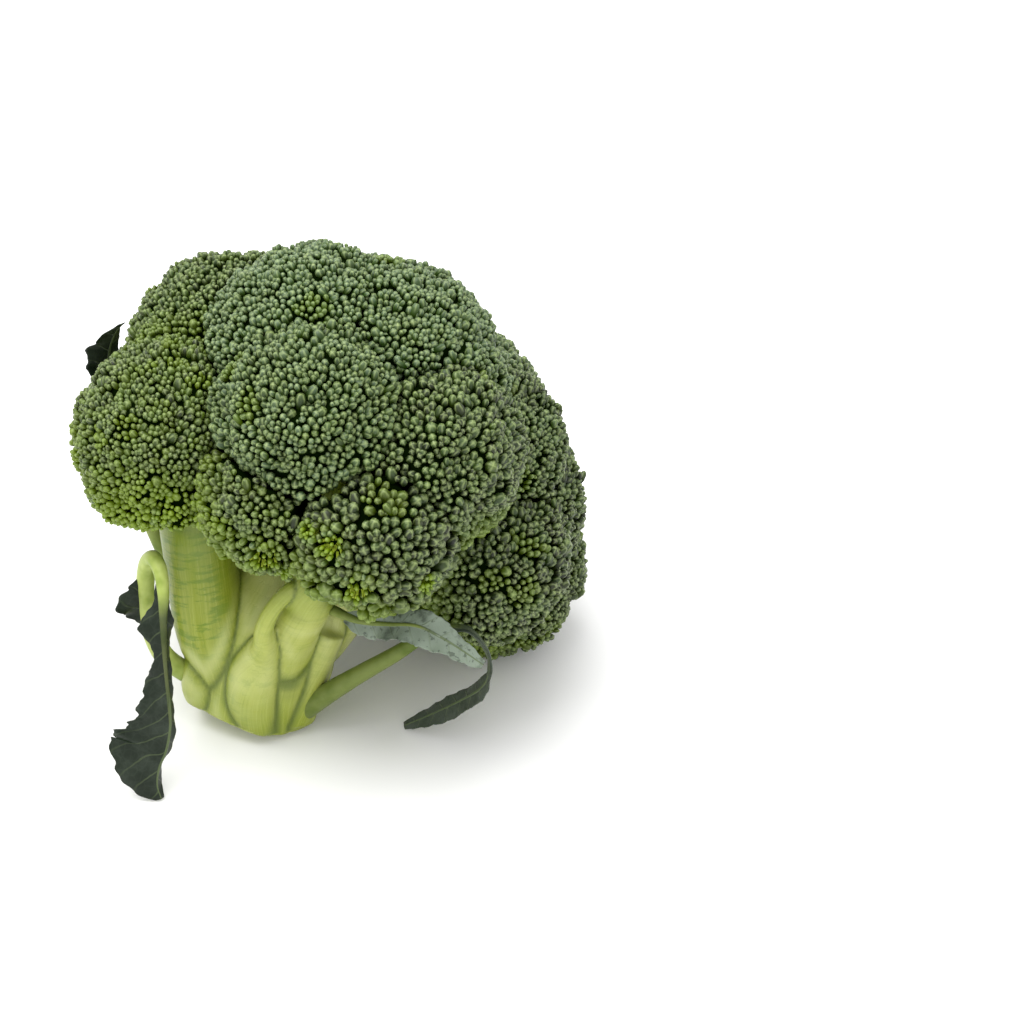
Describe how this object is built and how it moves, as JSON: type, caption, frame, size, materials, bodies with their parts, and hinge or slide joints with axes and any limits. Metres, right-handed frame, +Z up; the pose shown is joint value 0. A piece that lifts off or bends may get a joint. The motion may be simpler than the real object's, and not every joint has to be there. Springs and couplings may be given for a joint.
{
  "type": "broccoli head",
  "caption": "Fresh broccoli head lying tilted on its cut stalk: a domed crown of bud-covered florets, pale branching stalk, and a few trimmed and hanging leaves.",
  "frame": {"origin": "middle of the whole in plan, at the height of the surface it rests on", "axes": "+X to the right, +Y to the back, +Z up; the stalk's cut end is at the front left, and the crown leans to the right and back"},
  "size_m": [0.156, 0.1642, 0.151],
  "materials": {
    "floret_back_surface": "waxy blue-green flower buds",
    "floret_back_rest_surface": "waxy blue-green flower buds",
    "floret_front_surface": "waxy blue-green flower buds",
    "floret_front_right_surface": "waxy blue-green flower buds",
    "floret_left_surface": "waxy blue-green flower buds",
    "floret_left_back_surface": "waxy blue-green flower buds",
    "floret_left_low_surface": "waxy blue-green flower buds",
    "floret_left_top_surface": "waxy blue-green flower buds",
    "floret_low_right_surface": "waxy blue-green flower buds",
    "floret_right_surface": "waxy blue-green flower buds",
    "floret_right_back_surface": "waxy blue-green flower buds",
    "floret_right_mid_surface": "waxy blue-green flower buds",
    "floret_right_rest_surface": "waxy blue-green flower buds",
    "floret_top_surface": "waxy blue-green flower buds",
    "floret_top_back_surface": "waxy blue-green flower buds",
    "floret_top_front_surface": "waxy blue-green flower buds",
    "floret_top_right_surface": "waxy blue-green flower buds",
    "leaf_back_surface": "matt waxy leaf",
    "leaf_front_surface": "matt waxy leaf",
    "leaf_left_surface": "matt waxy leaf",
    "leaf_right_surface": "matt waxy leaf",
    "stalk_surface": "smooth pale green flesh, cut face moist"
  },
  "bodies": {
    "root": {"floret_back": "floret_back_surface", "floret_back_rest": "floret_back_rest_surface", "floret_front": "floret_front_surface", "floret_front_right": "floret_front_right_surface", "floret_left": "floret_left_surface", "floret_left_back": "floret_left_back_surface", "floret_left_low": "floret_left_low_surface", "floret_left_top": "floret_left_top_surface", "floret_low_right": "floret_low_right_surface", "floret_right": "floret_right_surface", "floret_right_back": "floret_right_back_surface", "floret_right_mid": "floret_right_mid_surface", "floret_right_rest": "floret_right_rest_surface", "floret_top": "floret_top_surface", "floret_top_back": "floret_top_back_surface", "floret_top_front": "floret_top_front_surface", "floret_top_right": "floret_top_right_surface", "leaf_back": "leaf_back_surface", "leaf_front": "leaf_front_surface", "leaf_left": "leaf_left_surface", "leaf_right": "leaf_right_surface", "stalk": "stalk_surface"}
  },
  "joints": []
}
